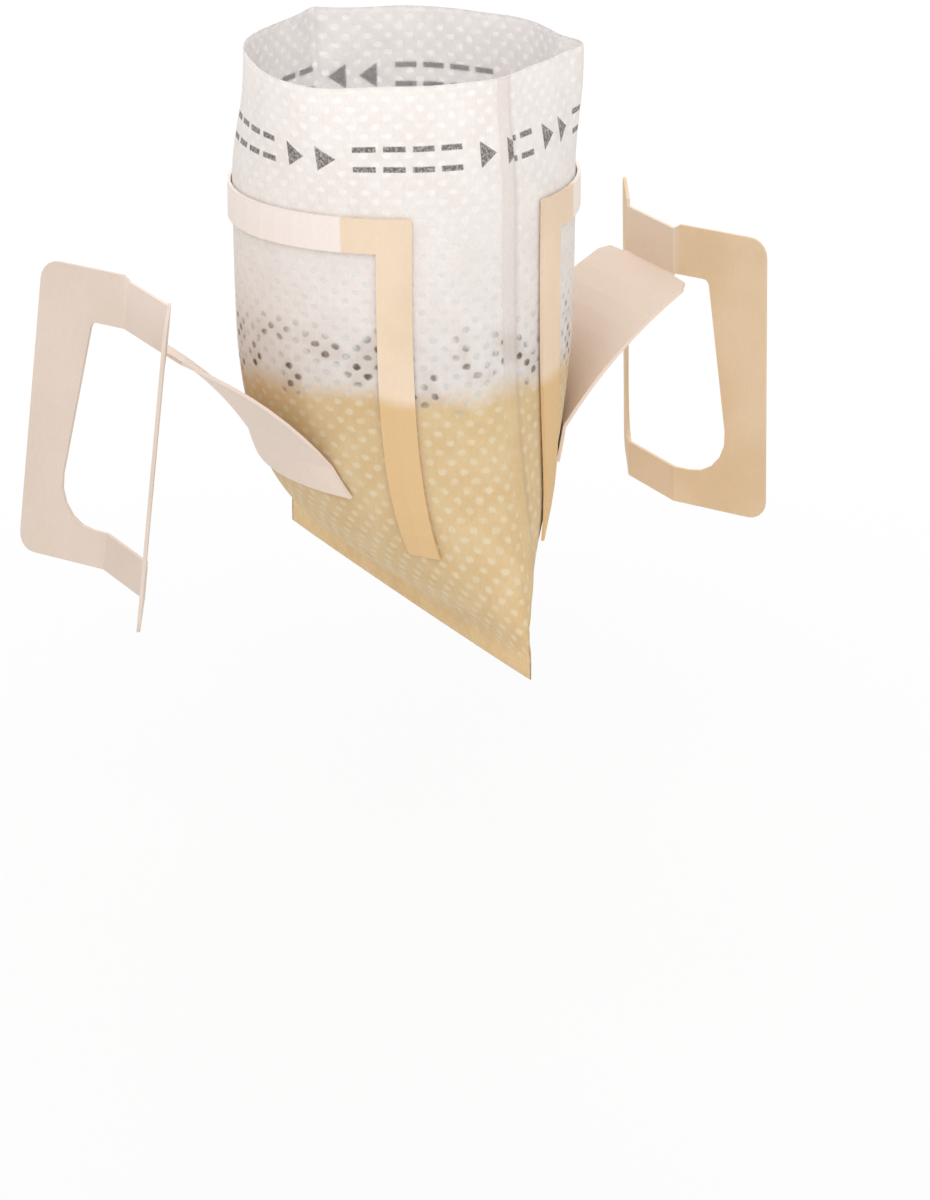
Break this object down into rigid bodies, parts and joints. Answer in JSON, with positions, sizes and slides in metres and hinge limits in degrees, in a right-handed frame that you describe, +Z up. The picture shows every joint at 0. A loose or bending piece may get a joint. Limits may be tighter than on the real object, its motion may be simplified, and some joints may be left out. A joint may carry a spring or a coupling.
{
  "type": "paper tea filter",
  "caption": "Hanging paper filter bag for loose tea, with folded card ears on two sides that hook over a cup's rim and hold its open mouth above the cup.",
  "frame": {"origin": "middle of the cup rim's plane between the two ears, on the bag's axis", "axes": "+X from one ear to the other through the bag's glued faces, +Y along the flat bottom seal, +Z up towards the open mouth"},
  "size_m": [0.0951, 0.071, 0.0778],
  "materials": {
    "filter_paper": "matt, embossed with rows of small dots, stained by tea below the rim",
    "card": "matt, uncoated",
    "tea": "damp, dull"
  },
  "bodies": {
    "root": {"filter_bag": "filter_paper", "left_card_frame": "card", "right_card_frame": "card", "left_ear": "card", "right_ear": "card", "tea_leaves": "tea"}
  },
  "joints": []
}
